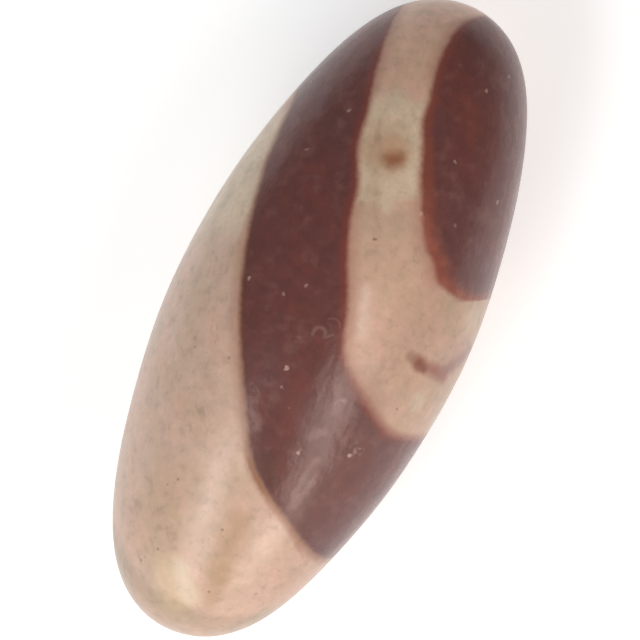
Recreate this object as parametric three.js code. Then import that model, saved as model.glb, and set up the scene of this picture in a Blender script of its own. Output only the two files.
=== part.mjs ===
// A shiva lingam: one polished river stone, a long body with rounded, slightly blunt ends.
//
// The stone lies on its side. Its long axis runs along Y, its width along X and its height along Z,
// and the origin is on the surface that it rests on, under its middle. All lengths are millimetres.

import * as THREE from 'three';

// Driving dimensions
const LENGTH = 76;            // tip to tip, along Y
const WIDTH = 33;             // at the middle, along X
const HEIGHT = 30.4;          // at the middle, along Z, before the underside is flattened
const REST_DEPTH = 0.2;       // how far the underside is flattened where the stone lies

// The outline is an ellipse that is a little slimmer along its flanks and fuller towards its ends.
const FLANK_SLIMNESS = 0.114;
const END_FULLNESS = 0.271;

// Fineness of the surface: meridians round the stone, and rings from tip to tip
const MERIDIANS = 56;
const RINGS = 36;

const STONE_COLOUR = 0xa07c6c;   // the middle tone between the tan ground and the maroon bands

// Half-width of the outline where the distance from the middle is the fraction u of the half-length:
// an ellipse times a polynomial in u squared.
function halfWidth(u) {
  const fullness = 1 - FLANK_SLIMNESS * u ** 2 + END_FULLNESS * u ** 4;
  return (WIDTH / 2) * Math.sqrt(Math.max(0, 1 - u ** 2)) * fullness;
}

// The profile from one tip to the other. Equal steps of angle put the rings closer together at the tips.
function outlineProfile() {
  const points = [];
  for (let ring = 0; ring <= RINGS; ring += 1) {
    const angle = Math.PI * (ring / RINGS - 0.5);
    const u = Math.sin(angle);
    const isTip = ring === 0 || ring === RINGS;
    points.push(new THREE.Vector2(isTip ? 0 : halfWidth(u), (LENGTH / 2) * u));
  }
  return points;
}

// The profile is turned about Y, then pressed from round to slightly oval, and lifted to stand on z = 0.
// What would reach below z = 0 is flattened onto it: the small worn face that the stone rests on.
function stoneGeometry() {
  const geometry = new THREE.LatheGeometry(outlineProfile(), MERIDIANS);
  const position = geometry.getAttribute('position');
  const lift = HEIGHT / 2 - REST_DEPTH;
  for (let i = 0; i < position.count; i += 1) {
    const z = position.getZ(i) * (HEIGHT / WIDTH) + lift;
    position.setZ(i, Math.max(0, z));
  }
  geometry.computeVertexNormals();
  return geometry;
}

function makeStone() {
  const material = new THREE.MeshStandardMaterial({
    color: STONE_COLOUR,
    roughness: 0.4,
    metalness: 0,
  });
  const stone = new THREE.Mesh(stoneGeometry(), material);
  stone.name = 'stone';
  return stone;
}

const lingam = new THREE.Group();
lingam.name = 'shiva_lingam';
lingam.add(makeStone());

export default lingam;
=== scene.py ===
# %% [markdown]
# # A shiva lingam stone
#
# The real object is a single river stone, worn and then hand-polished into a long rounded body. Its ground
# is tan, and two maroon zones with rusty rims run through it. There is nothing else: no stand, no base and
# no moving part.
#
# This lesson loads the measured model of the stone as a fixed frame, puts a fine smooth surface in its
# place, and gives that surface a solid stone pattern, one that goes right through the body as the real
# bands do.

import math

import bpy
import numpy as np
from mathutils import Matrix, Vector


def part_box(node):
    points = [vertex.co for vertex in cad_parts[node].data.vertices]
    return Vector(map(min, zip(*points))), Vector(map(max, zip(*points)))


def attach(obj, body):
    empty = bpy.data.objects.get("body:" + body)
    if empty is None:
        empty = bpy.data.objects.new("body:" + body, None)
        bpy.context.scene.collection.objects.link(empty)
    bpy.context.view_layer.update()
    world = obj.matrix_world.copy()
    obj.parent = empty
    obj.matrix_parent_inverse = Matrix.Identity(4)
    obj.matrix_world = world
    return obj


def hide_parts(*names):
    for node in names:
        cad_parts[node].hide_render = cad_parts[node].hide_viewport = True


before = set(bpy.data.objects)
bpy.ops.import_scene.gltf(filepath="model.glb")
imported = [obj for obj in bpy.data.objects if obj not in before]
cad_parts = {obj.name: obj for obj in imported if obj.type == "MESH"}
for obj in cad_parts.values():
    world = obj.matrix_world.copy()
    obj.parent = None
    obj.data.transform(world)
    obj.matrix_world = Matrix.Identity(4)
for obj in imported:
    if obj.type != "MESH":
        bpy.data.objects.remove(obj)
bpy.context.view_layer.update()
low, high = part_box("stone")
MM = 0.001
half_width = (high.x - low.x) / 2
half_length = (high.y - low.y) / 2
print("stone, mm:", [round((b - a) / MM, 1) for a, b in zip(low, high)])

# %% [markdown]
# ## The camera
#
# The stone lies down, and the camera looks straight down on it through a long lens, so that its outline
# shows at its true shape. The camera is turned about the vertical so that the stone leans to the right. It
# comes first, because everything after it is judged through it. A long lens far away was chosen over a
# short one close by, which would swell the near side of the stone.

# %% Place the camera
LENS = 300.0                          # mm, on a sensor 36 mm wide
SENSOR = 36.0
TURN = math.radians(26.54)            # how far the stone leans over to the right
VIEW_WIDTH = 0.9244 * 2 * half_length
AIM_DOWN = 0.0032 * 2 * half_length   # the stone sits a little above the middle of the picture
middle_height = (low.z + high.z) / 2

camera_data = bpy.data.cameras.new("camera")
camera_data.lens = LENS
camera_data.sensor_width = SENSOR
camera = bpy.data.objects.new("camera", camera_data)
picture_up = Vector((-math.sin(TURN), math.cos(TURN), 0))
camera.location = Vector((0, 0, middle_height + VIEW_WIDTH * LENS / SENSOR)) - AIM_DOWN * picture_up
camera.rotation_euler = (0, 0, TURN)
bpy.context.scene.collection.objects.link(camera)
bpy.context.scene.camera = camera
print("camera height, m:", round(camera.location.z, 3))

# %% [markdown]
# ## The body
#
# The stone's surface is a profile turned about the long axis. The profile is an ellipse that is a little
# slimmer along its flanks and fuller towards its ends, and the section is slightly flattened from round. A
# sphere that is stretched would come out too pointed, and a sculpted mesh would be hard to measure, so the
# surface is worked out with numpy as a function of two angles.

# %% The outline of the stone
FLANK_SLIMNESS = 0.114
END_FULLNESS = 0.271
REST_DEPTH = 0.2 * MM                 # how far the underside is worn flat where it lies
half_height = (high.z - low.z + REST_DEPTH) / 2
centre_height = half_height - REST_DEPTH


def outline(u):
    """Half-width at a fraction u of the half-length: a circle's height times a polynomial in u squared."""
    fullness = 1 - FLANK_SLIMNESS * u**2 + END_FULLNESS * u**4
    return np.sqrt(np.clip(1 - u**2, 0, 1)) * fullness


print("half-width a third and two thirds of the way out:", outline(np.array([1 / 3, 2 / 3])).round(3))

# %% [markdown]
# ### Points and faces
#
# The grid has rings from tip to tip and meridians round the body. Each tip is one shared point with a fan
# of triangles, so the surface is closed and has no doubled points. Hand polishing leaves very slight
# waves, so a few slow sine waves lift and lower the surface by under a tenth of a millimetre, which breaks
# up the reflections.

# %% Work out the surface
RINGS = 300
MERIDIANS = 300
WAVE = 0.05 * MM


def body_points(rings, meridians):
    """The inner rings of points.

    Along the body y is the sine of an angle. Across it x and z are the outline times a circle. The waves
    are two products of sines of the turn and of the place along the body, and swell the outline a little."""
    tip_angle = np.linspace(-math.pi / 2, math.pi / 2, rings + 2)[1:-1, None]
    turn = np.linspace(0, 2 * math.pi, meridians, endpoint=False)[None, :]
    u = np.sin(tip_angle)
    size = outline(u)
    broad_waves = np.sin(3 * turn + 5 * u) * np.sin(7 * u + 1)
    narrow_waves = np.sin(5 * turn - 9 * u + 2) * np.cos(4 * u)
    size = size * (1 + WAVE / half_width * (broad_waves + narrow_waves))
    x = half_width * size * np.cos(turn)
    y = half_length * u * np.ones_like(turn)
    z = centre_height + half_height * size * np.sin(turn)
    return np.stack([x, y, np.maximum(z, 0)], axis=-1)


def closed_faces(rings, meridians):
    """Quads between neighbouring rings and a fan of triangles round each tip, all with fronts outside.

    A quad joins a point, the same point on the next ring, and the points beside those two."""
    ring = np.arange(rings - 1)[:, None] * meridians
    step = np.arange(meridians)[None, :]
    beside = (step + 1) % meridians
    next_ring = ring + meridians
    quads = np.stack([ring + step, next_ring + step, next_ring + beside, ring + beside], axis=-1)
    first_tip, last_tip = rings * meridians, rings * meridians + 1
    last_ring = (rings - 1) * meridians
    step, beside = step[0], beside[0]
    near_fan = np.stack([np.full(meridians, first_tip), step, beside], axis=-1)
    far_fan = np.stack([np.full(meridians, last_tip), last_ring + beside, last_ring + step], axis=-1)
    return quads.reshape(-1, 4).tolist() + near_fan.tolist() + far_fan.tolist()


rings_of_points = body_points(RINGS, MERIDIANS).reshape(-1, 3)
tips = np.array([[0, -half_length, centre_height], [0, half_length, centre_height]])
points = np.concatenate([rings_of_points, tips])
faces = closed_faces(RINGS, MERIDIANS)
body_mesh = bpy.data.meshes.new("polished_stone")
body_mesh.from_pydata(points.tolist(), [], faces)
body_mesh.shade_smooth()
body_mesh.update()
stone = bpy.data.objects.new("polished_stone", body_mesh)
bpy.context.scene.collection.objects.link(stone)
print("points and faces:", len(points), len(faces))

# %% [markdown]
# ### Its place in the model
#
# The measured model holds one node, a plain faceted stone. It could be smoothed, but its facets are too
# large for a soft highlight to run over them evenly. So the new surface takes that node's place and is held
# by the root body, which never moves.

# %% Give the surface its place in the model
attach(stone, "root")
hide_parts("stone")
print("the surface stands in for the node: stone")

# %% [markdown]
# ## The stone's pattern
#
# The bands of this stone are not painted on: they are layers of iron-stained mineral that run right
# through it. They could be drawn on the surface with an unwrapped picture, but then they would swim where
# the unwrapping stretches, and the underside would be a guess in flat paint. A solid pattern was chosen.
# Every point of the surface asks what mineral lies at its own place in space, so the bands wrap over the
# flanks as a saw cut through the real layers would show them.
#
# The next cell makes a material and some short names for shader nodes, so that each colour reads as one
# line. More short names follow where they are first needed.

# %% A material and short names for its nodes
polish = bpy.data.materials.new("polished_stone")
polish.use_nodes = True
nodes = polish.node_tree.nodes
links = polish.node_tree.links
surface = nodes["Principled BSDF"]


def feed(socket, value):
    """Give a socket its value: a link where it comes from another node, and otherwise a number or colour."""
    if isinstance(value, bpy.types.NodeSocket):
        links.new(value, socket)
    elif socket.type == "RGBA":
        socket.default_value = (*value, 1)
    else:
        socket.default_value = value


def maths(operation, *values):
    """One step of arithmetic on up to three numbers."""
    node = nodes.new("ShaderNodeMath")
    node.operation = operation
    for socket, value in zip(node.inputs, values):
        feed(socket, value)
    return node.outputs["Value"]


def vector_maths(operation, first, second, result="Vector"):
    """One step of arithmetic on two vectors."""
    node = nodes.new("ShaderNodeVectorMath")
    node.operation = operation
    feed(node.inputs[0], first)
    feed(node.inputs[1], second)
    return node.outputs[result]


def scaled(vector, amount):
    """A vector made longer or shorter by a number."""
    node = nodes.new("ShaderNodeVectorMath")
    node.operation = "SCALE"
    feed(node.inputs[0], vector)
    feed(node.inputs["Scale"], amount)
    return node.outputs["Vector"]


def tell(step):
    """Say how many nodes the material has after a step."""
    print("material nodes after", step + ":", len(nodes))


tell("the start")

# %% [markdown]
# ### Two directions in the layers
#
# The layers cross the stone askew, so its own length is a poor ruler for them. The place could be turned
# with a Mapping node, but two dot products are plainer to read, and each can be used alone. One measures
# along the layers and one measures across them. The second leans a little with height, because the layers
# do. Both count in millimetres from the middle of the stone's footprint.

# %% Measure along and across the layers
coordinates = nodes.new("ShaderNodeTexCoord").outputs["Object"]
place = scaled(coordinates, 1 / MM)
LAYER_RUN = (0.6, -0.8, 0.0)
LAYER_STACK = (0.8, 0.6, 0.3)
parts_of_place = nodes.new("ShaderNodeSeparateXYZ")
feed(parts_of_place.inputs[0], place)
sideways, lengthwise, height = parts_of_place.outputs
along = vector_maths("DOT_PRODUCT", place, LAYER_RUN, "Value")
across = vector_maths("DOT_PRODUCT", place, LAYER_STACK, "Value")
tell("the rulers")

# %% [markdown]
# ### Wandering edges
#
# A stain that crept through sand never stops at a clean line. The edges could be drawn with hundreds of
# points, but a few noise nodes give the same tooth. Three sizes of wander are added to the across ruler: a
# fine one for the sandy tooth of an edge, a middle one for its small bays, and a slow wide one that sets in
# below the stone's waist, so that the underside has curves of its own instead of a copy of the top.

# %% Let the edges wander
WAIST = 15.0                          # the wide wander sets in below this height, and is full at the next
UNDERSIDE = 4.0
TOOTH = (0.6, 0.16, 2.0)              # size, reach and detail of a wander
BAYS = (2.4, 0.11, 1.0)
WIDE_BENDS = (17.0, 9.0, 1.0)


def fade(value, none, full):
    """A soft step: 0 where the value is at none, 1 where it is at full, and a smooth S between them."""
    node = nodes.new("ShaderNodeMapRange")
    node.interpolation_type = "SMOOTHSTEP"
    feed(node.inputs["Value"], value)
    feed(node.inputs["From Min"], none)
    feed(node.inputs["From Max"], full)
    return node.outputs["Result"]


def cloud(place, size, detail=2.0, roughness=0.5):
    """Smooth lumps about size millimetres across, as a number from 0 to 1 that is mostly near a half."""
    node = nodes.new("ShaderNodeTexNoise")
    feed(node.inputs["Vector"], place)
    node.inputs["Scale"].default_value = 1 / size
    node.inputs["Detail"].default_value = detail
    node.inputs["Roughness"].default_value = roughness
    return node.outputs["Fac"]


def wander(size, reach, detail):
    """A push to either side, in millimetres, that changes over about size millimetres."""
    return maths("MULTIPLY", maths("SUBTRACT", cloud(place, size, detail), 0.5), 2 * reach)


underside = fade(height, WAIST, UNDERSIDE)
deep_wander = maths("MULTIPLY", wander(*WIDE_BENDS), underside)
edge_wander = maths("ADD", maths("ADD", wander(*TOOTH), wander(*BAYS)), deep_wander)
across_edge = maths("ADD", across, edge_wander)
print("wander above the waist, at most, mm:", round(TOOTH[1] + BAYS[1], 2), "and below it:", WIDE_BENDS[1])

# %% [markdown]
# ### Three edges
#
# Three edges divide the stone: the two sides of the maroon band, and the side of the maroon cap near one
# end. Each is a curve that gives its place across the layers for each place along them. A Float Curve node
# holds it, with only the points where the edge bends. Where an edge runs steeply, the plain difference
# overstates the distance to it, so it is divided by the length of the slope, and rims that follow the edge
# keep an even width.

# %% Draw the edges as curves
CURVE_REACH = 42.0                    # a curve covers this many millimetres each way
SLOPE_STEP = 1.0                      # the slope is measured over this many millimetres
STEEPEST = 2.2


def edge_height(points, position):
    """The curve's place across the layers at a position along them: both are scaled to run from 0 to 1."""
    node = nodes.new("ShaderNodeFloatCurve")
    curve = node.mapping.curves[0]
    fitted = [((a / CURVE_REACH + 1) / 2, (b / CURVE_REACH + 1) / 2) for a, b in points]
    curve.points[0].location = fitted[0]
    curve.points[1].location = fitted[-1]
    for point in fitted[1:-1]:
        curve.points.new(*point)
    node.mapping.update()
    feed(node.inputs["Value"], maths("MULTIPLY_ADD", position, 0.5 / CURVE_REACH, 0.5))
    return maths("MULTIPLY_ADD", node.outputs["Value"], 2 * CURVE_REACH, -CURVE_REACH)


def beyond(points):
    """How far past an edge a place is, in millimetres, measured square to the edge.

    Where the edge is very steep it is only nearly square."""
    ahead = edge_height(points, maths("ADD", along, SLOPE_STEP / 2))
    behind = edge_height(points, maths("SUBTRACT", along, SLOPE_STEP / 2))
    slope = maths("DIVIDE", maths("SUBTRACT", ahead, behind), SLOPE_STEP)
    stretch = maths("SQRT", maths("MULTIPLY_ADD", slope, slope, 1.0))
    stretch = maths("MINIMUM", stretch, STEEPEST)
    return maths("DIVIDE", maths("SUBTRACT", across_edge, edge_height(points, along)), stretch)


BAND_NEAR_EDGE = [(-42, 1), (-34, 4.6), (-28, 7.0), (-24.3, 7.0), (-22.6, 6.5), (-20.5, 5.5), (-17.9, 4.2),
                  (-14.8, 3.15), (-11.3, 2.05), (-6.3, 0.75), (-1.3, -0.15), (5.1, -0.75), (9.7, -1.3),
                  (13.7, -1.65), (18, -0.8), (21, 0.15), (25.7, 1.15), (42, 6)]
BAND_FAR_EDGE = [(-42, 24), (-30.5, 19.7), (-24.3, 17.8), (-21, 16.9), (-17.7, 15.6), (-12.6, 14.95),
                 (-11, 14.3), (-9.4, 13.8), (-6, 13.1), (-0.4, 12.1), (2.9, 11.1), (4.5, 10.8), (7.4, 11.3),
                 (11, 12.0), (13.9, 13.0), (14.6, 13.9), (16, 15.5), (24, 19), (42, 26)]
CAP_EDGE = [(-42, 42), (-31, 36), (-29.4, 29.5), (-28.9, 27.6), (-27.9, 26.6), (-22, 23.9), (-20.5, 23.5),
            (-19, 22.8), (-16.4, 22.4), (-9.6, 21.25), (-5.3, 20.9), (-3.5, 21.2), (-1.7, 21.1),
            (-0.7, 21.5), (0.3, 22.05), (1.0, 22.5), (1.4, 24.5), (1.8, 29), (42, 42)]
past_near_edge = beyond(BAND_NEAR_EDGE)
short_of_far_edge = maths("MULTIPLY", beyond(BAND_FAR_EDGE), -1.0)
past_cap_edge = beyond(CAP_EDGE)
tell("the edges")

# %% [markdown]
# ### Where the stone is maroon
#
# A place is in the band if it is past one side and short of the other, which is the smaller of the two
# distances. It is maroon if it is in the band or past the edge of the cap, which is the larger. The step
# from tan to maroon is soft over most of a millimetre, as in sandy stone, and nearly twice as soft towards
# the lower end, where the stain is weaker. That is done by dividing the distance by a number that grows
# along the layers.

# %% Mark the maroon places
EDGE_SOFTNESS = 0.40
into_band = maths("MINIMUM", past_near_edge, short_of_far_edge)
into_maroon = maths("MAXIMUM", into_band, past_cap_edge)
weaker_below = maths("ADD", fade(along, 0.0, 10.0), 1.0)
maroon_here = fade(maths("DIVIDE", into_maroon, weaker_below), -EDGE_SOFTNESS, EDGE_SOFTNESS)
print("width of the step from tan to maroon, mm:", 2 * EDGE_SOFTNESS)

# %% [markdown]
# ### The tan ground
#
# The ground is fine sandy stone, a warm tan that turns cooler on one flank and drifts between pink and
# olive. Its grain is drawn out a little along the layers. One zone runs straight across the layers, where
# the stone is creamier with some greener clouds: an old fracture let water bleach it. The clouds are
# noise, because no two places on the real stone repeat, and noise on stretched coordinates gives the
# drawn-out grain.

# %% Colour the tan ground
WARM_TAN = (0.578, 0.378, 0.272)
COOL_TAN = (0.556, 0.394, 0.311)
PINK_TAN = (0.590, 0.382, 0.290)
OLIVE_TAN = (0.505, 0.352, 0.250)
CREAM = (0.622, 0.505, 0.368)
GREEN_CREAM = (0.545, 0.460, 0.328)
ZONE_START = -23.9                    # along the layers
ZONE_END = -11.7
GRAIN_LENGTH = 2.2                    # how many times longer than wide
STREAK_LENGTH = 2.6
layer_turn = math.atan2(LAYER_RUN[1], LAYER_RUN[0])


def mix(amount, first, second):
    """The first colour where the amount is 0, and the second where it is 1."""
    node = nodes.new("ShaderNodeMix")
    node.data_type = "RGBA"
    feed(node.inputs["Factor"], amount)
    feed(node.inputs[6], first)
    feed(node.inputs[7], second)
    return node.outputs[2]


def drawn_out(turn, stretch):
    """The place, with lengths counted shorter in one level direction, so that noise on it is drawn out."""
    node = nodes.new("ShaderNodeMapping")
    node.vector_type = "TEXTURE"
    node.inputs["Rotation"].default_value = (0, 0, turn)
    node.inputs["Scale"].default_value = (stretch, 1.0, 1.0)
    feed(node.inputs["Vector"], place)
    return node.outputs["Vector"]


grain_place = drawn_out(layer_turn, GRAIN_LENGTH)
streak_place = drawn_out(layer_turn, STREAK_LENGTH)
drift = cloud(place, 11.0, 2.0)
tan = mix(fade(across, 3.0, 13.0), COOL_TAN, WARM_TAN)
tan = mix(fade(drift, 0.50, 0.70), tan, PINK_TAN)
tan = mix(fade(drift, 0.50, 0.30), tan, OLIVE_TAN)

zone_place = maths("ADD", along, wander(5.0, 0.9, 2.0))
flank = fade(across, 8.0, 0.0)
end_begins = maths("MULTIPLY_ADD", flank, 1.6, ZONE_END + 1.2)
end_is_full = maths("MULTIPLY_ADD", flank, -1.6, ZONE_END)
zone_end = fade(zone_place, end_begins, end_is_full)
zone = maths("MULTIPLY", fade(zone_place, ZONE_START, ZONE_START + 2.5), zone_end)
tan = mix(maths("MULTIPLY", zone, 0.92), tan, CREAM)
green_clouds = maths("MULTIPLY", fade(cloud(place, 2.2, 2.0), 0.46, 0.64), zone)
tan = mix(maths("MULTIPLY", green_clouds, 0.6), tan, GREEN_CREAM)
print("width of the cream zone, mm:", round(ZONE_END - ZONE_START, 1))

# %% [markdown]
# ### Grain, streaks and pores
#
# Close up, the tan stone is mottled by sand grains, with soft darker smudges, mostly on the cooler flank,
# thin dark streaks and a few pin-prick pores. The patches and the streaks are noise on the drawn-out
# coordinates, and the smudges and the sand are noise on plain ones. Noise has no round dots in it, so the
# pores are made another way: a Voronoi texture scatters one point in each small cell, and only the cells
# whose random number is high get a pore.

# %% Mottle the tan ground
PINK_GRAIN = (0.595, 0.374, 0.292)
OLIVE_GRAIN = (0.470, 0.340, 0.245)
# The smudge colour serves the real smudges, and once more as painted shade near the band's far edge.
SMUDGE_AND_PAINTED_SHADE = (0.370, 0.252, 0.205)
DARK_STREAK = (0.330, 0.220, 0.165)
PORE = (0.150, 0.100, 0.070)
SMALLEST_DOT = 0.6                    # dots are between this and 1.4 times their usual size
DOT_RANGE = 0.8


def scattered(spacing, share, radius, softness):
    """Small round dots, in about the given share of cells that are spacing millimetres wide."""
    cells = nodes.new("ShaderNodeTexVoronoi")
    feed(cells.inputs["Vector"], place)
    cells.inputs["Scale"].default_value = 1 / spacing
    chosen = nodes.new("ShaderNodeSeparateColor")
    feed(chosen.inputs[0], cells.outputs["Color"])
    near = maths("MULTIPLY", cells.outputs["Distance"], spacing)
    picked = maths("GREATER_THAN", chosen.outputs[0], 1 - share)
    size = maths("MULTIPLY_ADD", chosen.outputs[1], DOT_RANGE, SMALLEST_DOT)
    dot = fade(maths("DIVIDE", near, size), radius + softness, radius - softness)
    return maths("MULTIPLY", dot, picked)


patches = cloud(grain_place, 3.2, 2.0, 0.55)
smudges = cloud(place, 2.5, 2.0, 0.55)
sand = cloud(place, 0.45, 1.0)
streaks = cloud(streak_place, 1.0, 3.0, 0.65)
outside_zone = maths("MULTIPLY_ADD", zone, -0.85, 1.0)
pink_patches = maths("MULTIPLY", maths("MULTIPLY", fade(patches, 0.46, 0.74), 0.70), outside_zone)
tan = mix(pink_patches, tan, PINK_GRAIN)
tan = mix(maths("MULTIPLY", fade(patches, 0.54, 0.26), 0.60), tan, OLIVE_GRAIN)
smudge_share = maths("MULTIPLY_ADD", fade(sideways, 1.0, -6.0), 0.75, 0.25)
smudge_here = maths("MULTIPLY", maths("MULTIPLY", fade(smudges, 0.49, 0.78), smudge_share), outside_zone)
tan = mix(maths("MULTIPLY", smudge_here, 0.45), tan, SMUDGE_AND_PAINTED_SHADE)
tan = mix(maths("MULTIPLY", fade(sand, 0.35, 0.70), 0.22), tan, OLIVE_GRAIN)
streak_patches = fade(cloud(place, 7.0, 1.0), 0.44, 0.60)
streak_here = maths("MULTIPLY", fade(streaks, 0.56, 0.72), streak_patches)
tan = mix(maths("MULTIPLY", streak_here, 0.4), tan, DARK_STREAK)
pores = scattered(1.3, 0.22, 0.09, 0.11)
tan = mix(maths("MULTIPLY", pores, 0.4), tan, PORE)
tell("the grain")

# %% [markdown]
# ### Brushes for single marks
#
# A few marks make this stone itself, and noise could only put them somewhere else, so they are placed one by
# one. They could be painted on a picture, but marks in a solid pattern have to sit in space too. So each is
# a soft ball, an uneven blotch, or a straight soft stroke from one place to another. A mark needs only its
# place, its size, how soft it is, its strength and its colour.

# %% Make the brushes
BLOT = (1.6, 0.5, 2.0)                # the size, reach and detail of the push that makes a mark uneven


def distance_to(centre):
    """Distance in millimetres from a place."""
    return vector_maths("LENGTH", vector_maths("SUBTRACT", place, centre), (0, 0, 0), "Value")


def soft_edge(distance, radius, softness):
    """1 where the distance is well inside the radius, falling softly to 0 at radius + softness."""
    return fade(distance, radius + softness, max(radius - softness, 0))


def ball(centre, radius, softness):
    """1 inside a ball round a place, with a soft edge."""
    return soft_edge(distance_to(centre), radius, softness)


def stroke(start, end, radius, softness, uneven=0.0):
    """1 along a straight stroke in space, with a soft edge that blot makes uneven.

    The nearest place on the stroke is start plus a share of its run. The share is kept between 0 and 1."""
    run = tuple(b - a for a, b in zip(start, end))
    offset = vector_maths("SUBTRACT", place, start)
    share = maths("DIVIDE", vector_maths("DOT_PRODUCT", offset, run, "Value"), sum(r * r for r in run))
    share = maths("MINIMUM", maths("MAXIMUM", share, 0.0), 1.0)
    off_line = vector_maths("SUBTRACT", offset, scaled(run, share))
    distance = maths("MULTIPLY_ADD", blot, uneven, vector_maths("LENGTH", off_line, (0, 0, 0), "Value"))
    return soft_edge(distance, radius, softness)


blot = wander(*BLOT)


def blotch(centre, radius, softness):
    """A ball with an uneven edge, for a stain."""
    return soft_edge(maths("ADD", distance_to(centre), blot), radius, softness)


def stain(amount, strength, colour):
    """The tan with a stain laid over it at the given strength."""
    return mix(maths("MULTIPLY", amount, strength), tan, colour)


tell("the brushes")

# %% [markdown]
# ### The rusty eye
#
# In the cream zone there is a small rust-brown eye, where a grain of iron ore bled into the sand round it.
# It is a short dark stroke on two halos, a wide weak one and a nearer one. The halos are blotches, because a
# stain that has bled is round but uneven. A pink corner lies at the zone's upper end and a small cream spot
# below the eye, and fine brown veins run into the eye and on below the spot. Beside the far edge of the band
# lie a pale rosy patch, which is a painted highlight where a softbox's streak falls on the tan, and a brown
# smudge, which is painted shade that dims the same streak further down.

# %% Stain the eye and what is near it
RUST_HALO = (0.455, 0.270, 0.158)
RUST_EYE = (0.295, 0.122, 0.060)
# The pale rose is the colour of painted highlights from the softboxes.
ROSY_PAINTED_HIGHLIGHT = (0.690, 0.530, 0.450)
PINK_CORNER = (0.590, 0.365, 0.285)
VEIN = (0.370, 0.250, 0.172)
tan = stain(blotch((-1.7, 26.4, 25.9), 1.2, 0.8), 0.85, PINK_CORNER)
tan = stain(blotch((1.0, 13.9, 29.0), 0.7, 0.6), 0.75, CREAM)
tan = stain(blotch((-2.1, 19.3, 27.5), 2.5, 1.8), 0.55, RUST_HALO)
tan = stain(blotch((-0.9, 19.3, 27.8), 1.5, 1.4), 0.65, RUST_HALO)
tan = stain(stroke((-0.75, 18.55, 27.95), (-0.05, 18.90, 28.1), 0.78, 0.75, 0.9), 1.0, RUST_EYE)
# Painted highlight: a pale rosy patch where a softbox's streak falls on the tan.
tan = stain(stroke((3.2, 4.7, 29.8), (4.5, 0.8, 29.6), 0.75, 0.80, 0.9), 0.60, ROSY_PAINTED_HIGHLIGHT)
# Painted shade: a smudge-coloured stroke that dims that softbox streak further down.
tan = stain(stroke((6.5, -2.9, 28.9), (9.8, -5.5, 27.0), 1.00, 1.20, 0.9), 0.50, SMUDGE_AND_PAINTED_SHADE)
tan = stain(stroke((-3.7, 21.9, 26.8), (-3.1, 19.9, 27.5), 0.12, 0.38, 0.9), 0.35, VEIN)
tan = stain(stroke((-3.1, 19.9, 27.5), (-2.2, 19.1, 27.9), 0.12, 0.38, 0.9), 0.35, VEIN)
tan = stain(blotch((-0.6, 14.6, 28.9), 0.35, 0.35), 0.45, VEIN)
tan = stain(stroke((-0.3, 13.6, 29.0), (0.6, 12.2, 29.2), 0.08, 0.22, 0.8), 0.28, VEIN)
tan = stain(stroke((0.6, 12.2, 29.2), (1.7, 11.2, 29.3), 0.08, 0.22, 0.8), 0.22, VEIN)
tell("the eye")

# %% [markdown]
# ### Painted highlights and brown streaks near the lower end
#
# The lower end of the stone is streaked along its length: olive-brown between two pale pink streaks, and a
# creamy spot with an olive shadow beside the tip of the brown one. The two pale pink streaks are painted
# highlights, where the two softboxes' streaks run down the tan. One soft colour mixed in by place would lose
# the streaks, so they are strokes laid one over the other. A few small brown spots and a thin pink line
# beside the band come on top, and two more creamy spots lie further up on the right flank.

# %% Streak the lower end
# The pale pink is the colour of a painted highlight.
PINK_PAINTED_HIGHLIGHT = (0.700, 0.530, 0.425)
PALE_CREAM = (0.620, 0.505, 0.375)
OLIVE_CREAM = (0.560, 0.430, 0.275)
OLIVE_BROWN = (0.430, 0.285, 0.180)
EDGE_PINK = (0.430, 0.180, 0.135)
tan = stain(stroke((1.9, -23.6, 26.7), (2.4, -29.4, 24.7), 0.9, 1.5, 0.8), 0.75, OLIVE_BROWN)
tan = stain(stroke((2.4, -29.4, 24.7), (3.1, -33.0, 22.5), 0.4, 1.2, 0.8), 0.55, OLIVE_BROWN)
# Painted highlight: the right softbox's streak on the lower tan, in two strokes.
tan = stain(stroke((5.9, -22.3, 26.0), (5.8, -25.0, 25.2), 0.85, 1.30, 1.2), 0.52, PINK_PAINTED_HIGHLIGHT)
tan = stain(stroke((5.8, -25.0, 25.2), (4.9, -29.0, 24.0), 0.70, 1.20, 1.2), 0.35, PINK_PAINTED_HIGHLIGHT)
# Painted highlight: the left softbox's streak on the lower tan.
tan = stain(stroke((-2.6, -17.8, 28.0), (-1.4, -24.4, 26.6), 0.80, 1.20, 1.0), 0.34, ROSY_PAINTED_HIGHLIGHT)
tan = stain(stroke((-2.6, -31.5, 23.5), (-0.4, -34.8, 21.6), 1.5, 1.6, 1.0), 0.70, OLIVE_CREAM)
tan = stain(stroke((-1.4, -30.9, 24.1), (1.0, -33.5, 22.7), 0.95, 0.95, 1.2), 0.90, PALE_CREAM)
tan = stain(blotch((-0.4, -34.6, 21.8), 0.35, 0.55), 0.55, OLIVE_BROWN)
tan = stain(blotch((3.4, -30.2, 24.0), 0.45, 0.60), 0.40, OLIVE_BROWN)
tan = stain(blotch((2.2, -27.0, 25.6), 0.40, 0.60), 0.35, OLIVE_BROWN)
tan = stain(blotch((13.5, -3.5, 23.6), 1.0, 0.7), 0.70, PALE_CREAM)
tan = stain(stroke((8.6, -23.0, 24.1), (10.2, -24.2, 22.4), 0.12, 0.30, 0.4), 0.55, EDGE_PINK)
tan = stain(blotch((14.8, 7.2, 21.0), 1.5, 1.6), 0.75, PALE_CREAM)
tell("the streaks near the lower end")

# %% [markdown]
# ### The hooked streak
#
# The streak lies on the right flank. It begins grey-brown at the top of the flank, has a dark red-brown
# heart, runs on down as a red-brown arm with a short branch, and turns towards the upper end in a mauve
# tail. A pale mauve haze lies behind it. It is a chain of strokes, because a hook drawn as one curve would
# be harder to move and to recolour part by part.

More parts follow.
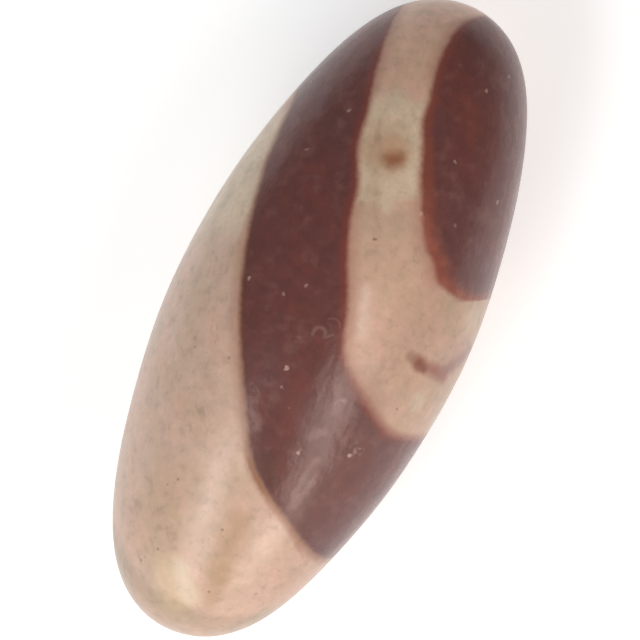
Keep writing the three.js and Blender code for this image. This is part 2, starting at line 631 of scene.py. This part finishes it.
# %% Draw the hooked streak
PALE_MAUVE = (0.500, 0.330, 0.280)
HOOK_START = (0.345, 0.200, 0.130)
HOOK_ARM = (0.325, 0.118, 0.080)
HOOK_TAIL = (0.335, 0.185, 0.160)
HOOK_HEART = (0.240, 0.080, 0.052)
tan = stain(stroke((13.7, 1.9, 23.2), (15.4, 4.6, 19.5), 1.0, 1.4, 0.8), 0.55, PALE_MAUVE)
tan = stain(stroke((10.5, 0.70, 26.7), (12.0, 0.2, 25.5), 0.42, 0.65, 0.6), 0.90, HOOK_START)
tan = stain(stroke((11.6, 0.40, 25.8), (14.8, 0.45, 21.8), 0.48, 0.80, 0.8), 1.0, HOOK_ARM)
tan = stain(stroke((14.6, 0.6, 22.0), (16.1, 4.0, 17.9), 0.95, 0.95, 0.7), 0.95, HOOK_TAIL)
tan = stain(stroke((14.3, 0.3, 22.4), (15.1, 0.0, 21.1), 0.35, 0.80, 0.6), 0.50, HOOK_ARM)
tan = stain(stroke((11.7, 0.35, 25.7), (12.6, 0.0, 24.8), 0.20, 0.62, 0.3), 0.85, HOOK_HEART)
tell("the hooked streak")

# %% [markdown]
# ### Mottling over the marks, with painted shade and painted light
#
# The sand grains show through the marks too. Mixing in one more colour would hide the marks, so a finer
# mottling is laid over everything as a tint, which darkens or lightens whatever colour is there. The same
# kind of tint paints shade on the right flank and the lower tip, and paints light on the upper tip. The
# lower tip is told by its place along the body plus its height, because the painted shade runs up over the
# rounded end, and it is left out on the underside.

# %% Mottle the marked ground and paint shade and light on it
LIGHT_GRAINS = (1.15, 1.12, 1.16)
DARK_GRAINS = (0.76, 0.78, 0.78)
# Painted shade for the right flank and the lower tip, and painted light for the upper tip.
RIGHT_FLANK_PAINTED_SHADE = (0.85, 0.86, 0.85)
LOWER_TIP_PAINTED_SHADE = (0.72, 0.735, 0.69)
UPPER_TIP_PAINTED_LIGHT = (1.13, 1.11, 1.11)
MOTTLING = 0.60                       # strength of both kinds of grains


def tint(amount, colour, glass):
    """The colour as it looks through tinted glass, at the given strength."""
    node = nodes.new("ShaderNodeMix")
    node.data_type = "RGBA"
    node.blend_type = "MULTIPLY"
    feed(node.inputs["Factor"], amount)
    feed(node.inputs[6], colour)
    feed(node.inputs[7], glass)
    return node.outputs[2]


mottle = cloud(place, 1.3, 3.0, 0.60)
tan = tint(maths("MULTIPLY", fade(mottle, 0.50, 0.70), MOTTLING), tan, LIGHT_GRAINS)
tan = tint(maths("MULTIPLY", fade(mottle, 0.48, 0.28), MOTTLING), tan, DARK_GRAINS)
# Where the painted shade and the painted light go: the right flank, the lower tip and the upper tip.
right_flank_shade = fade(sideways, 5.0, 10.5)
upper_side = fade(height, 10.0, 16.0)
lower_tip_shade = maths("MULTIPLY", fade(maths("ADD", lengthwise, height), -11.0, -14.5), upper_side)
upper_tip_light = fade(lengthwise, 24.0, 33.0)
tan = tint(right_flank_shade, tan, RIGHT_FLANK_PAINTED_SHADE)
tan = tint(lower_tip_shade, tan, LOWER_TIP_PAINTED_SHADE)
tan = tint(upper_tip_light, tan, UPPER_TIP_PAINTED_LIGHT)
tell("the mottling")

# %% [markdown]
# ### Pores with a place of their own
#
# Some pin-prick pores are dark enough to be part of the stone's face, and noise would put them elsewhere.
# Each is a tiny ball at its own place, and two longer pits are short strokes. Two brown smudges near the
# lower end are made in the same way.

# %% Place the pores
PORES = [(-10.6, -8.8, 25.9), (-6.8, -8.2, 28.4), (-5.9, -22.4, 25.9), (-4.5, -30.2, 23.6),
         (0.8, -25.1, 26.4), (2.5, -31.9, 23.4), (7.2, -29.9, 22.1), (-5.6, -32.2, 21.8),
         (11.8, -5.1, 25.4)]
for spot in PORES:
    tan = stain(ball(spot, 0.10, 0.16), 0.75, PORE)
tan = stain(stroke((1.4, 10.1, 29.5), (1.6, 10.2, 29.5), 0.12, 0.16), 0.75, PORE)
tan = stain(stroke((-15.3, -13.9, 16.4), (-15.2, -15.1, 16.9), 0.12, 0.20), 0.9, PORE)
tan = stain(stroke((-8.6, -23.7, 23.8), (-7.9, -24.9, 23.9), 0.10, 0.30, 0.7), 0.45, SMUDGE_AND_PAINTED_SHADE)
tan = stain(stroke((-6.1, -31.8, 21.7), (-5.5, -32.5, 21.7), 0.10, 0.28, 0.5), 0.55, SMUDGE_AND_PAINTED_SHADE)
tell("the pores")

# %% [markdown]
# ### The maroon stone
#
# Iron stains this part. It is a deep maroon that turns redder in slow clouds and purpler elsewhere, with
# smaller darker clouds and a little pale sand showing through. Those are noise again. Near the middle of the
# band two warmer red patches stand out, and they are a blotch and a stroke placed one by one.

# %% Colour the maroon stone
MAROON = (0.129, 0.0385, 0.0330)
RED_MAROON = (0.150, 0.0380, 0.0290)
PURPLE_MAROON = (0.126, 0.0455, 0.043)
SHADE_MAROON = (0.098, 0.030, 0.027)
SOFT_SPECK = (0.200, 0.092, 0.082)
WARM_RED = (0.178, 0.040, 0.033)
maroon_drift = cloud(grain_place, 6.5, 3.0, 0.55)
maroon = mix(fade(maroon_drift, 0.47, 0.66), MAROON, RED_MAROON)
maroon = mix(fade(maroon_drift, 0.50, 0.34), maroon, PURPLE_MAROON)
dark_clouds = fade(cloud(place, 1.5, 3.0, 0.6), 0.36, 0.66)
pale_grains = fade(cloud(place, 1.7, 2.0, 0.5), 0.50, 0.78)
maroon = mix(maths("MULTIPLY", dark_clouds, 0.65), maroon, SHADE_MAROON)
maroon = mix(maths("MULTIPLY", pale_grains, 0.42), maroon, SOFT_SPECK)
warm_patch = blotch((1.6, -7.2, 29.8), 0.9, 1.5)
warm_run = stroke((1.5, -9.9, 29.4), (2.4, -12.3, 29.0), 0.5, 1.3, 1.2)
for warm in (warm_patch, warm_run):
    maroon = mix(maths("MULTIPLY", warm, 0.45), maroon, WARM_RED)
tell("the maroon stone")

# %% [markdown]
# ### Rusty rims
#
# The stain is strongest where it stopped. The cap has a rim a millimetre or more wide, red-brown with bright
# rust over it, and the far side of the band has a red-brown one. The near side has only a thin brown line,
# with a darker strip and one dark brown patch inside it. That patch is partly stain and partly painted shade
# that dims a softbox's reflection there. The rims could have curves of their own, but a soft step on the
# distance to an edge follows that edge by itself. The rust is left out where the cap's edge starts. It grows
# wider and brighter along the layers and weakens again at the foot of the cap.

# %% Paint the rims
DARK_SIDE = (0.106, 0.034, 0.029)
# The next dark brown is a stain colour that also serves as painted shade.
EDGE_BROWN_AND_SHADE = (0.092, 0.030, 0.022)
DARK_RIM = (0.196, 0.046, 0.033)
RUST = (0.195, 0.050, 0.030)
BRIGHT_RUST = (0.280, 0.085, 0.053)
RED_RIM = (0.196, 0.040, 0.028)
BROWN_LINE = (0.200, 0.088, 0.046)
DARK_SIDE_WIDTH = 1.9
DARK_RIM_WIDTH = 1.40
RUST_WIDTH = 1.35
RED_RIM_WIDTH = 1.30
BROWN_LINE_WIDTH = 0.60
CAP_FOOT = (-2.0, 0.3)                # along the layers, where the foot of the cap begins and is reached
cap_rim = maths("ABSOLUTE", maths("ADD", past_cap_edge, wander(1.8, 0.35, 2.0)))
far_rim = maths("ABSOLUTE", maths("ADD", short_of_far_edge, wander(1.5, 0.20, 2.0)))
near_rim = maths("ABSOLUTE", past_near_edge)

dark_side = maths("MULTIPLY", fade(near_rim, DARK_SIDE_WIDTH, 0.5), fade(along, 18.0, 14.5))
# A dark brown patch inside the near edge: partly stain, partly painted shade dimming a softbox's reflection.
brown_patch_and_shade = stroke((1.5, -16.1, 28.5), (3.0, -18.0, 27.9), 0.60, 1.00, 0.8)
maroon = mix(maths("MULTIPLY", dark_side, 0.35), maroon, DARK_SIDE)
maroon = mix(maths("MULTIPLY", brown_patch_and_shade, 0.75), maroon, EDGE_BROWN_AND_SHADE)
maroon = mix(maths("MULTIPLY", fade(cap_rim, DARK_RIM_WIDTH, 0.3), 0.90), maroon, DARK_RIM)

rust_grows = fade(along, -24.0, -17.0)
rim_width = maths("MULTIPLY_ADD", fade(along, -18.0, -4.0), 0.45, 1.15)
rim_patches = maths("MULTIPLY_ADD", fade(cloud(place, 1.6, 1.0), 0.38, 0.60), 0.50, 0.50)
rust_rim = maths("MULTIPLY", fade(maths("DIVIDE", cap_rim, rim_width), RUST_WIDTH, 0.1), rust_grows)
cap_foot = maths("MULTIPLY", fade(across, 22.8, 25.0), fade(along, *CAP_FOOT))
rust_rim = maths("MULTIPLY", rust_rim, maths("MULTIPLY_ADD", cap_foot, -0.75, 1.0))
rust = mix(fade(along, -13.0, -5.0), RUST, BRIGHT_RUST)
maroon = mix(maths("MULTIPLY", rust_rim, rim_patches), maroon, rust)
maroon = mix(maths("MULTIPLY", fade(far_rim, RED_RIM_WIDTH, 0.1), 0.80), maroon, RED_RIM)
maroon = mix(maths("MULTIPLY", fade(near_rim, BROWN_LINE_WIDTH, 0.1), 0.90), maroon, BROWN_LINE)
tell("the rims")

# %% [markdown]
# ### The bleed, and the two stones together
#
# Outside the edges a little of the stain has bled into the tan. It has to follow whichever edge is
# nearest, so it is a step on the distance to the maroon and not one more rim. It reaches over a millimetre
# and a half, but less in the cream zone and near the lower end, and the foot of the cap stays clean. Then
# the tan and the maroon are joined by the soft step from before. A short thin line of bright brown runs
# along the near edge on top of both.

# %% Bleed the stain and join the two stones
BLEED = (0.400, 0.208, 0.150)
EDGE_LINE = (0.270, 0.120, 0.058)
EDGE_LINE_WIDTH = 0.45
clean_foot = maths("MULTIPLY", fade(across, 18.0, 21.0), fade(along, *CAP_FOOT))
low_edge = fade(along, 8.0, 13.0)
bleed_reach = maths("MULTIPLY_ADD", zone, 0.9, maths("MULTIPLY_ADD", low_edge, 0.8, -1.7))
bleed = maths("MULTIPLY", fade(into_maroon, bleed_reach, 0.0), maths("SUBTRACT", 1.0, clean_foot))
tan = mix(maths("MULTIPLY", bleed, maths("MULTIPLY_ADD", low_edge, -0.2, 0.70)), tan, BLEED)
mineral = mix(maroon_here, tan, maroon)
line_run = maths("MULTIPLY", fade(along, 12.8, 14.0), fade(along, 19.0, 16.5))
edge_line = maths("MULTIPLY", fade(near_rim, EDGE_LINE_WIDTH, 0.05), line_run)
mineral = mix(maths("MULTIPLY", edge_line, 0.80), mineral, EDGE_LINE)
tell("joining the two stones")

# %% [markdown]
# ### Scratches and a small ring
#
# There are faint curved scratches from handling in the dark stone, where they show most. They could be
# drawn one by one, but there are many and none matters, so they are thin lines where a slow noise passes
# through its middle value, kept only in patches. One small open ring does matter. It is the mark of a
# grain that was lost, with a short tail, a fainter arc beside it and a dark red spot in it. The ring and
# the arc are distances to a centre, and the tail is a stroke.

# %% Scratch the maroon stone and draw the ring
SCRATCH = (0.260, 0.150, 0.140)
RING_RED = (0.165, 0.034, 0.034)
curl = cloud(place, 4.5, 1.0)
scratch_line = fade(maths("ABSOLUTE", maths("SUBTRACT", curl, 0.5)), 0.007, 0.001)
scratch_patches = fade(cloud(place, 5.0, 0.0), 0.58, 0.72)
scratches = maths("MULTIPLY", maths("MULTIPLY", scratch_line, scratch_patches), 0.10)
mineral = mix(maths("MULTIPLY", scratches, maroon_here), mineral, SCRATCH)


def arc(distance, radius, outer, inner, direction, none, full):
    """An open ring, which fades in from none to full as the place moves along a direction.

    The line is strong where the distance is within inner of the radius, and gone where it is outer away."""
    ring = fade(maths("ABSOLUTE", maths("SUBTRACT", distance, radius)), outer, inner)
    kept = fade(vector_maths("DOT_PRODUCT", place, direction, "Value"), none, full)
    return maths("MULTIPLY", ring, kept)


ring_distance = maths("ADD", distance_to((0.65, -1.6, 30.16)), wander(1.1, 0.22, 1.0))
ring = arc(ring_distance, 0.70, 0.30, 0.04, (-0.35, 0.94, 0), -2.35, -1.75)
ring_tail = stroke((1.35, -1.75, 30.14), (2.1, -1.0, 30.08), 0.08, 0.14, 0.5)
faint_arc = arc(distance_to((1.6, -0.25, 30.12)), 0.85, 0.20, 0.03, (0.2, 0.98, 0), 0.2, 0.6)
mineral = mix(maths("MULTIPLY", maths("MAXIMUM", ring, ring_tail), 0.45), mineral, SCRATCH)
mineral = mix(maths("MULTIPLY", faint_arc, 0.28), mineral, SCRATCH)
mineral = mix(ball((0.9, -2.1, 30.15), 0.25, 0.30), mineral, RING_RED)
tell("the ring")

# %% [markdown]
# ### Specks, dust and rubbed haze
#
# Pale grains and white dust sit in tiny pits of the dark stone. The grains that stand out are small balls
# with crumbled edges, placed one by one, and a larger grain is also a stronger one. Three patches hold many
# small flecks, and the finest dust is scattered over all of the dark stone, where no single grain matters.
# The flecks in the three patches are painted glints in the highlights on the band, and short strokes of pale
# painted sheen lie along the softbox highlight there to make it lumpy.

# %% Set the specks, dust, painted glints and painted sheen
# The pale dust colour also serves for painted glints, and the next colour is painted sheen.
DUST_AND_GLINTS = (0.60, 0.46, 0.42)
PAINTED_SHEEN = (0.290, 0.180, 0.165)
SPECK_EDGE = 0.17
STRONGEST_SPECK = 0.5
SPECKS = [((-8.7, 0.4, 27.9), 0.15), ((-4.6, 0.5, 29.6), 0.09), ((-0.8, -6.4, 29.9), 0.19),
          ((-2.9, 2.4, 29.9), 0.09), ((-0.3, -8.4, 29.8), 0.10), ((-9.4, 15.6, 25.7), 0.09),
          ((-7.2, 21.4, 25.5), 0.12), ((5.5, 21.5, 26.4), 0.11), ((5.2, 30.0, 23.4), 0.11),
          ((6.7, 32.6, 20.6), 0.11), ((4.7, 14.9, 28.1), 0.13), ((4.4, -14.0, 28.4), 0.16),
          ((4.7, -13.6, 28.5), 0.10), ((11.6, 19.8, 22.1), 0.13), ((9.5, -11.9, 26.3), 0.20),
          ((8.6, 15.4, 26.2), 0.07)]
# Three patches of painted glints, and strokes of painted sheen, in the highlights on the band.
PAINTED_GLINT_PATCHES = [((5.9, -6.9, 28.9), 0.60), ((10.0, -11.0, 26.3), 0.80), ((-1.5, -3.0, 30.1), 0.40)]
PAINTED_SHEEN_STROKES = [((4.7, -5.0, 29.4), (6.1, -8.0, 28.7), 0.50), ((4.9, -11.7, 28.6), (6.0, -10.9, 28.4), 0.25),
             ((6.4, -14.0, 27.7), (5.9, -18.4, 26.9), 0.20),
             ((-1.3, -12.5, 29.2), (-0.7, -13.5, 29.0), 0.40),
             ((7.2, -15.2, 26.9), (6.5, -19.4, 26.3), 0.15)]
crumble = wander(0.35, 0.30, 1.0)
for spot, radius in SPECKS:
    speck = fade(maths("ADD", distance_to(spot), crumble), radius + SPECK_EDGE, radius)
    mineral = mix(maths("MULTIPLY", speck, min(2.8 * radius, STRONGEST_SPECK)), mineral, DUST_AND_GLINTS)
# Painted glints: pale flecks in three patches where the highlights fall on the band.
glint_flecks = fade(cloud(place, 0.60, 2.0), 0.50, 0.66)
for spot, radius in PAINTED_GLINT_PATCHES:
    glint_here = maths("MULTIPLY", glint_flecks, ball(spot, radius, 0.45))
    mineral = mix(maths("MULTIPLY", glint_here, 0.26), mineral, DUST_AND_GLINTS)
dust = scattered(1.4, 0.12, 0.07, 0.09)
mineral = mix(maths("MULTIPLY", maths("MULTIPLY", dust, maroon_here), 0.22), mineral, DUST_AND_GLINTS)
# Painted sheen: pale strokes that make the softbox highlight on the band lumpy.
for start, end, radius in PAINTED_SHEEN_STROKES:
    mineral = mix(maths("MULTIPLY", stroke(start, end, radius, 0.40, 1.6), 0.30), mineral, PAINTED_SHEEN)
print("specks, fleck patches and rubs:", len(SPECKS), len(PAINTED_GLINT_PATCHES), len(PAINTED_SHEEN_STROKES))

# %% [markdown]
# ### Polish
#
# The stone is rubbed to a soft sheen, not to a mirror. The roughness drifts a little, lower where a hand
# has worn it and higher in hazy patches, and the sandy tan is a little rougher than the denser maroon. The
# highlight would still be too clean, so a very fine bump breaks it up. It is made of rubbing marks drawn
# out along the body, rounder lumps, sand grains and the pores.

# %% Set the polish
SHEEN = 0.28
HAZE_DRIFT = 0.25                     # how far the roughness drifts
TAN_ROUGHER = 0.06
RUB_TURN = math.radians(96)           # the rubbing marks run nearly along the body
RUB_LENGTH = 2.6
BUMP_HEIGHT = 0.065 * MM
haze = cloud(grain_place, 3.0, 3.0, 0.6)
roughness = maths("ADD", maths("MULTIPLY", maths("SUBTRACT", haze, 0.5), HAZE_DRIFT), SHEEN)
roughness = maths("ADD", roughness, maths("MULTIPLY_ADD", maroon_here, -TAN_ROUGHER, TAN_ROUGHER))
feed(surface.inputs["Base Color"], mineral)
feed(surface.inputs["Roughness"], roughness)
surface.inputs["IOR"].default_value = 1.5
surface.inputs["Specular IOR Level"].default_value = 0.40
surface.inputs["Coat Weight"].default_value = 0.32
surface.inputs["Coat Roughness"].default_value = 0.50

rubbing_marks = cloud(drawn_out(RUB_TURN, RUB_LENGTH), 1.8, 2.0, 0.5)
fine_grain = cloud(place, 0.5, 2.0, 0.6)
lumps = cloud(place, 1.9, 2.0, 0.5)
relief = maths("MULTIPLY_ADD", fine_grain, 0.08, rubbing_marks)
relief = maths("MULTIPLY_ADD", lumps, 0.9, relief)
relief = maths("MULTIPLY_ADD", pores, -0.4, relief)
bump = nodes.new("ShaderNodeBump")
bump.inputs["Strength"].default_value = 1.0
bump.inputs["Distance"].default_value = BUMP_HEIGHT
feed(bump.inputs["Height"], relief)
feed(surface.inputs["Normal"], bump.outputs["Normal"])
stone.data.materials.append(polish)
tell("the polish")

# %% [markdown]
# ## Floor and light
#
# A stone with a sheen is shown best on a pale table between two tall softboxes: each leaves one long soft
# streak down the body, and the table fills the flanks from below. A single lamp would leave one hard spot
# and a dark side.

# %% The floor
FLOOR_REACH = 3.0
TABLE_COLOUR = (0.84, 0.87, 0.90, 1)
TABLE_GLOW = 0.40
floor_mesh = bpy.data.meshes.new("floor")
corners = [(-FLOOR_REACH, -FLOOR_REACH, 0), (FLOOR_REACH, -FLOOR_REACH, 0),
           (FLOOR_REACH, FLOOR_REACH, 0), (-FLOOR_REACH, FLOOR_REACH, 0)]
floor_mesh.from_pydata(corners, [], [(0, 1, 2, 3)])
floor = bpy.data.objects.new("floor", floor_mesh)
bpy.context.scene.collection.objects.link(floor)
table_top = bpy.data.materials.new("pale_table")
table_top.use_nodes = True
table_surface = table_top.node_tree.nodes["Principled BSDF"]
table_surface.inputs["Base Color"].default_value = TABLE_COLOUR
table_surface.inputs["Roughness"].default_value = 0.9
table_surface.inputs["Specular IOR Level"].default_value = 0.1
table_surface.inputs["Emission Color"].default_value = (1, 1, 1, 1)
table_surface.inputs["Emission Strength"].default_value = TABLE_GLOW
floor_mesh.materials.append(table_top)
print("floor, m:", 2 * FLOOR_REACH)

# %% [markdown]
# ### The softboxes
#
# Two tall softboxes stand to the left and right of the lower end and look down on the stone. Low cards
# under them and beyond the upper end give the flanks a broad weak light, as white card does on a studio
# table. The lamps on the right are warmer, so the two flanks differ in colour as well as in brightness.
# Lamps could be placed by coordinates, but each is placed by two angles and made to face the stone,
# because angles are easier to judge.

# %% Place the softboxes
LAMP_DISTANCE = 0.7
ABOVE = Vector((0, 0, 1))
picture_right = Vector((math.cos(TURN), math.sin(TURN), 0))


def aim(turn, climb):
    """A direction: so many degrees left from the right of the view, and climbing so many from the table."""
    turned, climbing = math.radians(turn), math.radians(climb)
    level = picture_right * math.cos(turned) + picture_up * math.sin(turned)
    return level * math.cos(climbing) + ABOVE * math.sin(climbing)


def softbox(name, turn, climb, top, width, height, brightness, colour=(1, 1, 1)):
    """A rectangular lamp that faces the stone, with its height pointing as nearly as it can towards top.

    Its power is brightness times pi times area."""
    data = bpy.data.lights.new(name, "AREA")
    data.shape = "RECTANGLE"
    data.size = width
    data.size_y = height
    data.energy = brightness * math.pi * width * height
    data.color = colour
    lamp = bpy.data.objects.new(name, data)
    towards = aim(turn, climb)
    lamp.location = Vector((0, 0, middle_height)) + towards * LAMP_DISTANCE
    side = top.cross(towards).normalized()
    lamp.rotation_euler = Matrix((side, towards.cross(side), towards)).transposed().to_euler()
    bpy.context.scene.collection.objects.link(lamp)
    print(name, "power, W:", round(data.energy, 2))


softbox("left_softbox", 230, 46, aim(88, 0), 0.25, 0.62, 5.8, (1.0, 0.97, 0.93))
softbox("right_softbox", 312, 46, aim(112, 0), 0.22, 0.58, 5.6, (1.0, 0.83, 0.73))
softbox("left_card", 220, 11, ABOVE, 0.85, 0.25, 1.15)
softbox("right_card", 310, 12, ABOVE, 0.60, 0.25, 1.45, (1.0, 0.84, 0.74))
softbox("back_card", 95, 14, ABOVE, 0.60, 0.30, 0.40, (1.0, 0.90, 0.85))

# %% [markdown]
# ### The room
#
# The rest of the light comes from a plain white room, a little brighter overhead than at the level of the
# table. The stone gets only a weak light from it, or the softboxes would lose their shape. A backdrop that
# weak would look grey, so what the camera itself sees of the room is made brighter, and what the stone
# sees is left as it is.

# %% Light the room
LEVEL_LIGHT = 0.20
OVERHEAD_LIGHT = 0.26
OVERHEAD_FROM = 0.7                   # the height of a direction above which the room is at its brightest
BACKDROP_LIGHT = 0.43                 # added where the camera looks straight at the room
studio = bpy.data.worlds.new("studio")
studio.use_nodes = True
sky_nodes = studio.node_tree.nodes
sky_links = studio.node_tree.links
background = sky_nodes["Background"]
direction = sky_nodes.new("ShaderNodeTexCoord")
split = sky_nodes.new("ShaderNodeSeparateXYZ")
strength = sky_nodes.new("ShaderNodeMapRange")
sky_links.new(direction.outputs["Generated"], split.inputs[0])
sky_links.new(split.outputs["Z"], strength.inputs["Value"])
strength.inputs["From Min"].default_value = 0.0
strength.inputs["From Max"].default_value = OVERHEAD_FROM
strength.inputs["To Min"].default_value = LEVEL_LIGHT
strength.inputs["To Max"].default_value = OVERHEAD_LIGHT
seen = sky_nodes.new("ShaderNodeLightPath")
brighter = sky_nodes.new("ShaderNodeMath")
brighter.operation = "MULTIPLY_ADD"
sky_links.new(seen.outputs["Is Camera Ray"], brighter.inputs[0])
brighter.inputs[1].default_value = BACKDROP_LIGHT
sky_links.new(strength.outputs["Result"], brighter.inputs[2])
sky_links.new(brighter.outputs["Value"], background.inputs["Strength"])
background.inputs["Color"].default_value = (1, 1, 1, 1)
bpy.context.scene.world = studio
bpy.context.scene.view_settings.view_transform = "Standard"
print("room nodes:", len(sky_nodes))
